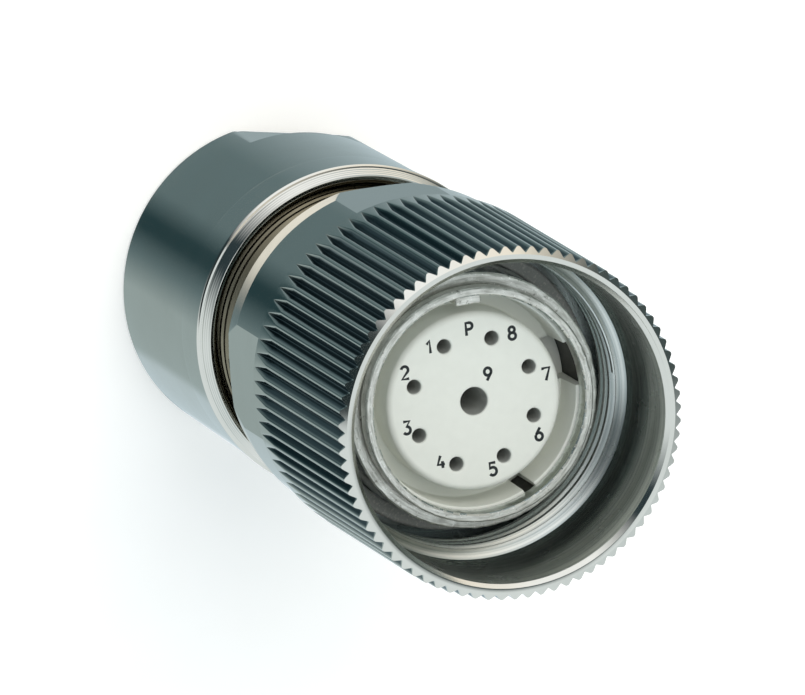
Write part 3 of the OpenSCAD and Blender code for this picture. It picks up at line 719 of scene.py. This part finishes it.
def cutter(name):
    bm = bmesh.new()
    for x, y, r in CONTACTS:
        collar, tube, mouth, edge = r + 0.94, r + 0.59, r + 0.05, r + 0.28
        hole = [(0, Z_SPLIT - 1), (collar, Z_SPLIT - 1), (collar, Z_SPLIT + 1.04), (tube, Z_SPLIT + 1.04),
                (tube, Z_FACE - 0.15), (mouth, Z_FACE - 0.15), (mouth, Z_FACE - 0.07), (r + 0.09, Z_FACE - 0.035),
                (r + 0.16, Z_FACE - 0.012), (edge, Z_FACE), (edge, Z_FACE + 0.4), (0, Z_FACE + 0.4)]
        part = turned_mesh("hole", hole, 48, (x, y))
        bm.from_mesh(part)
        bpy.data.meshes.remove(part)
    for angle, width, depth in SLOTS:
        middle = Vector((SLOT_FROM + SLOT_LENGTH / 2, 0, Z_COLLAR - depth / 2 + SLOT_OVER / 2))
        size = Matrix.Diagonal((SLOT_LENGTH * MM, width * MM, (depth + SLOT_OVER) * MM, 1))
        box = Matrix.Rotation(math.radians(angle), 4, "Z") @ Matrix.Translation(middle * MM) @ size
        bmesh.ops.create_cube(bm, size=1.0, matrix=box)
    return mesh_of(name, bm)


carrier_section = [
    (0, Z_SPLIT), (8.26, Z_SPLIT, 0.1), (8.26, Z_COLLAR, 0.05), (7.85, Z_COLLAR, 0.12), (7.7, Z_FACE - 3.4, 0.15),
    (6.6, Z_FACE - 3.4, 0.15), (6.6, Z_FACE, 0.5), (0, Z_FACE)]
blank = placed("carrier_blank", turned_mesh("carrier_blank", carrier_section, 256))
tool = placed("carrier_cutter", cutter("carrier_cutter"))
cut = blank.modifiers.new("holes", "BOOLEAN")
cut.object, cut.operation, cut.solver = tool, "DIFFERENCE", "EXACT"
carrier_mesh = bpy.data.meshes.new_from_object(blank.evaluated_get(bpy.context.evaluated_depsgraph_get()))
carrier_mesh.name = "contact_carrier"
bpy.data.objects.remove(blank)
bpy.data.objects.remove(tool)
finish_mesh(carrier_mesh, PBT, sharp_deg=30)
piece("contact_carrier", carrier_mesh, "housing", ["insert_front"])


# %% [markdown]
# Contacts
# Nine socket contacts sit in the carrier's holes. From the front only their dark mouths show. Each is a small
# turned tube with a collar, which the two halves of the carrier trap.

# %% Contacts
Z_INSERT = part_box("insert_rear")[0].z / MM
top, low = Z_FACE - 0.18, Z_INSERT - 6
TUBE_WALL, CUP_WALL, PIN_PLAY, COLLAR_OVER = 0.55, 0.3, 0.02, 0.35
socket_end, cup_end, collar_end = top - 7, low + 5, Z_SPLIT + 1
for n, (x, y, r) in enumerate(CONTACTS, 1):
    outer, bore = r + TUBE_WALL, r + PIN_PLAY
    cup, collar = outer - CUP_WALL, outer + COLLAR_OVER
    section = [
        (cup, low, 0.06), (outer, low, 0.06), (outer, Z_SPLIT), (collar, Z_SPLIT, 0.08), (collar, collar_end, 0.08),
        (outer, collar_end), (outer, top, 0.1), (bore, top, 0.06), (bore, socket_end), (0, socket_end),
        (0, cup_end), (cup, cup_end)]
    mesh = turned_mesh(f"socket_contact_{n}", section, 48, (x, y))
    finish_mesh(mesh, SILVER, sharp_deg=30)
    piece(f"socket_contact_{n}", mesh, "housing", [f"contact_{n}"])


# %% [markdown]
# The body and the front seal
# The body is the rear housing. Only its thread's first turns and a dark gap show between the nuts. The seal
# is a flat rubber ring on the sleeve's flange, dull and dusty.

# %% Body and seal
body_section = [
    (8.4, 9.9, 0.1), (10.35, 9.9, 0.08), (10.35, 10.0), (10.0, 10.2), (10.0, 21.3), (10.1, 21.5), (10.1, 31.7, 0.08),
    (9.85, 31.95, 0.08), (9.24, 31.95), (9.24, 26.35), (8.4, 26.35)]
body_mesh = turned_mesh("body_turned", body_section, 256)
finish_mesh(body_mesh, [BRIGHT, SHADED_THREAD])
# Painted shade: the thread and its roots in the gap between the nuts get the darker, browner tint
SHADED_THREAD_TOP, SHADED_THREAD_R = 21.4, 9.95
for face in body_mesh.polygons:
    in_shaded_gap = face.center.z < SHADED_THREAD_TOP * MM and face.center.xy.length > SHADED_THREAD_R * MM
    face.material_index = 1 if in_shaded_gap else 0
piece("body_turned", body_mesh, "housing", ["body"])

seal_section = [(9.48, 39.35), (10.6, 39.35, 0.1), (10.6, 40.85, 0.3), (9.48, 40.85, 0.2)]
seal_mesh = turned_mesh("face_seal_ring", seal_section, 256)
finish_mesh(seal_mesh, DUSTY, sharp_deg=30)
piece("face_seal_ring", seal_mesh, "housing", ["face_seal"])


# %% [markdown]
# Inner pieces
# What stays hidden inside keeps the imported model's own meshes and only gets its finish.

# %% Finishes of the inner pieces
for finish, names in ((BRIGHT, ["nut_snap_ring"]), (RUBBER, ["body_o_ring", "cable_seal"]),
                      (BRASS, ["shield_ring", "pressure_ring"]),
                      (PBT, ["insert_rear", "spacer_half_a", "spacer_half_b", "clamp_cage"])):
    for name in names:
        nodes[name].data.materials.clear()
        nodes[name].data.materials.append(finish)
print("inner pieces dressed")


# %% [markdown]
# Contact numbers
# The numbers beside the contact holes are pad printed in a plain stroke of even width. Each figure is a list of
# strokes on a grid one unit high. A Geometry Nodes tree sweeps a small circle along the strokes and presses the
# result flat, which gives thin ink with rounded sides. All figures stand upright towards the key.

# %% Strokes of the figures
def arc(cx, cy, rx, ry, start, end, n=12):
    return [(cx + rx * math.cos(math.radians(start + (end - start) * k / n)),
             cy + ry * math.sin(math.radians(start + (end - start) * k / n))) for k in range(n + 1)]


FIGURES = {
    "1": [[(0.05, 0.72), (0.3, 1.0), (0.3, 0.0)]],
    "2": [arc(0.3, 0.72, 0.28, 0.28, 165, -35) + [(0.02, 0.0), (0.6, 0.0)]],
    "3": [[(0.04, 1.0), (0.56, 1.0), (0.28, 0.6)] + arc(0.28, 0.3, 0.29, 0.3, 80, -150)],
    "4": [[(0.3, 1.0), (0.02, 0.3), (0.6, 0.3)], [(0.42, 0.55), (0.42, 0.0)]],
    "5": [[(0.54, 1.0), (0.08, 1.0), (0.05, 0.56)] + arc(0.28, 0.32, 0.3, 0.32, 110, -145)],
    "6": [[(0.42, 1.0), (0.1, 0.5)] + arc(0.3, 0.3, 0.28, 0.3, 155, -205, 20)],
    "7": [[(0.02, 0.86), (0.02, 1.0), (0.58, 1.0), (0.22, 0.0)]],
    "8": [arc(0.3, 0.76, 0.23, 0.24, -90, 270, 20), arc(0.3, 0.26, 0.28, 0.27, 90, 450, 20)],
    "9": [[(0.18, 0.0), (0.5, 0.5)] + arc(0.3, 0.7, 0.28, 0.3, -25, 335, 20)],
    "P": [[(0.06, 0.0), (0.06, 1.0), (0.32, 1.0)] + arc(0.32, 0.74, 0.26, 0.26, 90, -90) + [(0.06, 0.48)]]}
# Angle about the axis in degrees, and radius in millimetres, of each figure's middle
FIGURE_PLACES = {"P": (-91.9, 5.37), "1": (-57.6, 5.40), "2": (-31.0, 5.81), "3": (11.4, 5.37), "4": (53.3, 5.0),
                 "5": (99.4, 5.28), "6": (144.8, 5.62), "7": (-169.4, 5.74), "8": (-126.8, 5.63), "9": (-124.3, 2.2)}
FIGURE_H, STROKE, MIDDLE_U, MIDDLE_V, INK_FLATNESS = 0.93, 0.22, 0.3, 0.5, 0.12

strokes = bpy.data.curves.new("figure_strokes", "CURVE")
strokes.dimensions = "3D"
for figure, (angle, r) in FIGURE_PLACES.items():
    cx, cy = r * math.cos(math.radians(angle)), r * math.sin(math.radians(angle))
    for stroke in FIGURES[figure]:
        line = strokes.splines.new("POLY")
        line.points.add(len(stroke) - 1)
        for point, (u, v) in zip(line.points, stroke):
            point.co = ((cx - (u - MIDDLE_U) * FIGURE_H) * MM, (cy - (v - MIDDLE_V) * FIGURE_H) * MM, 0, 1)
ink_lines = bpy.data.objects.new("figure_strokes", strokes)
print("figures", len(FIGURE_PLACES), "strokes", len(strokes.splines))


# %% Tree for the ink
ink_tree, given = group_with("ink_strokes", [
    ("Strokes", "Object"), ("Width", "Float"), ("Height", "Float"), ("Finish", "Material")])
lines = add(ink_tree, "GeometryNodeObjectInfo", {"Object": given["Strokes"]}).outputs["Geometry"]
half_width = add(ink_tree, "ShaderNodeMath", {0: given["Width"], 1: 0.5}, operation="MULTIPLY").outputs[0]
nib = add(ink_tree, "GeometryNodeCurvePrimitiveCircle", {"Resolution": 10, "Radius": half_width}).outputs[0]
ink = add(ink_tree, "GeometryNodeCurveToMesh", {"Curve": lines, "Profile Curve": nib, "Fill Caps": True}).outputs[0]
ink = add(ink_tree, "GeometryNodeTransform", {"Geometry": ink, "Scale": (1, 1, INK_FLATNESS)}).outputs[0]
end_tree(ink_tree, ink, given["Height"], given["Finish"])
ink_mesh = grown("contact_numbers", ink_tree, {
    "Strokes": ink_lines, "Width": STROKE * MM, "Height": Z_FACE * MM, "Finish": INK})
face_outward(ink_mesh)
ink_mesh.shade_smooth()
piece("contact_numbers", ink_mesh, "housing")
bpy.data.objects.remove(ink_lines)
bpy.data.objects.remove(sector)


# %% [markdown]
# The camera
# The photograph was taken from far off with a long lens, so the view is almost without perspective. Its place
# was fitted to the circles of the nut, the rim and the clamp nut. It looks down on the mating face at a slant,
# rolled so that the axis runs to the lower right.

# %% Camera
EYE = Vector((685.27, -568.92, 2287.76))
RIGHT = Vector((-0.9442945, 0.1030742, 0.3125438))
UP = Vector((-0.1690570, -0.9667332, -0.1919550))
BACK = RIGHT.cross(UP).normalized()
FOCAL_PX, IMAGE_W, SENSOR_MM = 33412.75, 805, 36.0
lens = bpy.data.cameras.new("long_lens")
lens.sensor_width = SENSOR_MM
lens.lens = FOCAL_PX / IMAGE_W * SENSOR_MM
lens.clip_start, lens.clip_end = 0.05, 20.0
camera = placed("camera", lens)
camera.matrix_world = Matrix.Translation(EYE * MM) @ Matrix((RIGHT, UP, BACK)).transposed().to_4x4()
bpy.context.scene.camera = camera
print("lens", round(lens.lens), "mm")


# %% [markdown]
# The tent that the metal mirrors
# Bright plating has almost no colour of its own: it shows what stands round it. So the connector stands in a light
# tent, a large glowing ball that the camera looks through. The photograph's plating tells how the tent is
# painted: a soft box and a warmer lamp above, a white table below, a dark card between them on the left, which
# gives the barrels their dark line, and the dark shape of the viewer. The colours go round the line of sight, once
# for the half behind the object and once for the half in front of it. A bright patch lies right under the
# object. Beyond the tent the world is plain and pale.

# %% Directions in the tent
tent_material, room, place = new_material("light_tent_fabric")
looking = add(room, "ShaderNodeVectorMath", {0: place}, operation="NORMALIZE").outputs[0]


def along(axis):
    return add(room, "ShaderNodeVectorMath", {0: looking, 1: axis}, operation="DOT_PRODUCT").outputs["Value"]


# A radial gradient starts opposite to X, so the axes of the image are turned round for it
across, upward, toward = [along(axis) for axis in (-RIGHT, -UP, BACK)]
flat = add(room, "ShaderNodeCombineXYZ", {"X": across, "Y": upward}).outputs[0]
round_fac = add(room, "ShaderNodeTexGradient", {"Vector": flat}, gradient_type="RADIAL").outputs["Fac"]


def painted(stops):
    ramp = add(room, "ShaderNodeValToRGB", {"Fac": round_fac})
    while len(ramp.color_ramp.elements) < len(stops):
        ramp.color_ramp.elements.new(1.0)
    for element, (degrees, colour) in zip(ramp.color_ramp.elements, stops):
        element.position = degrees / 360
        element.color = (*[c / t for c, t in zip(linear(colour), NICKEL)], 1)
    return ramp.outputs["Color"]


def patched(seen, middle, low, high, colour):
    near = along(Vector(middle).normalized())
    mask = add(room, "ShaderNodeMapRange", {"Value": near, "From Min": low, "From Max": high},
               interpolation_type="SMOOTHSTEP").outputs[0]
    return add(room, "ShaderNodeMix", {0: mask, 6: seen, 7: (*colour, 1)}, data_type="RGBA").outputs[2]


print("towards the viewer", [round(c, 2) for c in BACK])


# %% Tent
# The tent's parts, each in the tone that bright nickel has where it mirrors it
DIM_WALL, PALE_WALL, GREY_WALL, DARK_CARD, TABLE = "#596a6a", "#a2afae", "#8b9894", "#25393b", "#e2e6e4"
SHADE, WARM_LAMP, SOFT_BOX, VIEWER, TABLE_EDGE = "#424c4b", "#efe7d5", "#f0f1ec", "#2c383b", "#d2d9d6"
# Degrees counter-clockwise from the image's right
BEHIND = [(0, DIM_WALL), (40, DIM_WALL), (62, PALE_WALL), (116, DIM_WALL), (143, DIM_WALL),
          (153, DARK_CARD), (158, DARK_CARD), (168, DIM_WALL), (180, GREY_WALL), (203, GREY_WALL),
          (207, PALE_WALL), (226, PALE_WALL), (240, TABLE), (300, PALE_WALL), (345, GREY_WALL), (360, DIM_WALL)]
IN_FRONT = [(0, SHADE), (30, SHADE), (52, WARM_LAMP), (82, SOFT_BOX), (108, SOFT_BOX), (142, VIEWER), (160, VIEWER),
            (192, TABLE_EDGE), (333, TABLE_EDGE), (360, SHADE)]
# The front half's colours take over between these cosines of the angle from the viewer
FRONT_FROM, FRONT_FULL = -0.62, -0.1
# The bright patch under the object, and the viewer; a patch fades in from low to high, cosines from its middle
UNDER, UNDER_GLOW = (-0.061, -0.033, -0.998), (1.05, 1.01, 0.9)
VIEWER_SIDE = BACK * 0.91 - RIGHT * 0.42 - UP * 0.02
TENT_R = 2.2
front = add(room, "ShaderNodeMapRange", {"Value": toward, "From Min": FRONT_FROM, "From Max": FRONT_FULL},
            interpolation_type="SMOOTHSTEP").outputs[0]
seen = add(room, "ShaderNodeMix", {0: front, 6: painted(BEHIND), 7: painted(IN_FRONT)}, data_type="RGBA").outputs[2]
seen = patched(seen, UNDER, low=0.976, high=0.992, colour=UNDER_GLOW)
seen = patched(seen, VIEWER_SIDE, low=0.94, high=0.975, colour=linear(VIEWER))
fabric = add(room, "ShaderNodeEmission", {"Color": seen, "Strength": 1.0}).outputs[0]
add(room, "ShaderNodeOutputMaterial", {"Surface": fabric})
tent_material.cycles.emission_sampling = "NONE"
ball = bmesh.new()
bmesh.ops.create_uvsphere(ball, u_segments=64, v_segments=32, radius=TENT_R)
bmesh.ops.reverse_faces(ball, faces=ball.faces)
tent_mesh = mesh_of("light_tent", ball)
finish_mesh(tent_mesh, tent_material, sharp_deg=60)
tent = placed("light_tent", tent_mesh)
tent.visible_camera = tent.visible_transmission = False

world = bpy.data.worlds.new("pale_surroundings")
bpy.context.scene.world = world
world.use_nodes = True
world.node_tree.nodes.clear()
around = add(world.node_tree, "ShaderNodeBackground", {"Color": rgba("#f6f7f7"), "Strength": 1.0}).outputs[0]
add(world.node_tree, "ShaderNodeOutputWorld", {"Surface": around})
print("tent faces", len(tent_mesh.polygons))


# %% [markdown]
# Floor and lamp
# The connector stands on pale paper, which is lifted a little towards white where it is seen. The plating in the
# photograph doesn't mirror the sheet that it was cut out on, so the floor is kept out of mirror rays and the tent
# stands in for it there. One soft, slightly warm lamp near the viewer, a little up and to the right, models the
# white carrier.

# %% Floor and lamp
# Half the floor's side and its height in metres, the size of its grain, and its lift towards white
FLOOR_HALF, FLOOR_Z, GRAIN_MM, WHITE_LIFT = 1.5, -2e-5, 10 / 3, 0.2
material, tree, place = new_material("matt_paper_floor")
grain = add(tree, "ShaderNodeTexNoise", {"Vector": place, "Scale": 1 / (GRAIN_MM * MM)}).outputs["Fac"]
paper = add(tree, "ShaderNodeMix", {0: grain, 6: rgba("#f4f3f0"), 7: rgba("#f8f7f5")}, data_type="RGBA").outputs[2]
matt = add(tree, "ShaderNodeBsdfPrincipled", {"Base Color": paper, "Roughness": 0.9}).outputs[0]
rays = add(tree, "ShaderNodeLightPath").outputs
shown = add(tree, "ShaderNodeMath", {0: rays["Is Camera Ray"], 1: rays["Is Glossy Ray"]},
            operation="MAXIMUM").outputs[0]
shown = add(tree, "ShaderNodeMath", {0: shown, 1: rays["Is Transmission Ray"]}, operation="MAXIMUM").outputs[0]
lift = add(tree, "ShaderNodeMath", {0: shown, 1: WHITE_LIFT}, operation="MULTIPLY").outputs[0]
white = add(tree, "ShaderNodeEmission", {"Color": (1, 1, 1, 1), "Strength": lift}).outputs[0]
add(tree, "ShaderNodeOutputMaterial", {"Surface": add(tree, "ShaderNodeAddShader", {0: matt, 1: white}).outputs[0]})
floor_mesh = bpy.data.meshes.new("floor")
corners = [(x * FLOOR_HALF, y * FLOOR_HALF, FLOOR_Z) for x, y in ((-1, -1), (1, -1), (1, 1), (-1, 1))]
floor_mesh.from_pydata(corners, [], [(0, 1, 2, 3)])
floor_mesh.materials.append(material)
floor = placed("floor", floor_mesh)
floor.visible_glossy = False

glow = bpy.data.lights.new("soft_lamp", "AREA")
glow.shape, glow.size, glow.energy, glow.color = "DISK", 0.5, 1.9, (1.0, 0.99, 0.96)
lamp = placed("soft_lamp", glow)
aim = (BACK * 0.87 + UP * 0.22 + RIGHT * 0.4).normalized()
LIT_POINT, LAMP_AWAY = Vector((0, 0, 0.045)), 0.6
facing = aim.to_track_quat("Z", "Y").to_matrix().to_4x4()
lamp.matrix_world = Matrix.Translation(LIT_POINT + aim * LAMP_AWAY) @ facing
lamp.visible_glossy = False
bpy.context.scene.view_settings.view_transform = "Standard"
print("lamp at", [round(c, 2) for c in lamp.matrix_world.translation], "m")
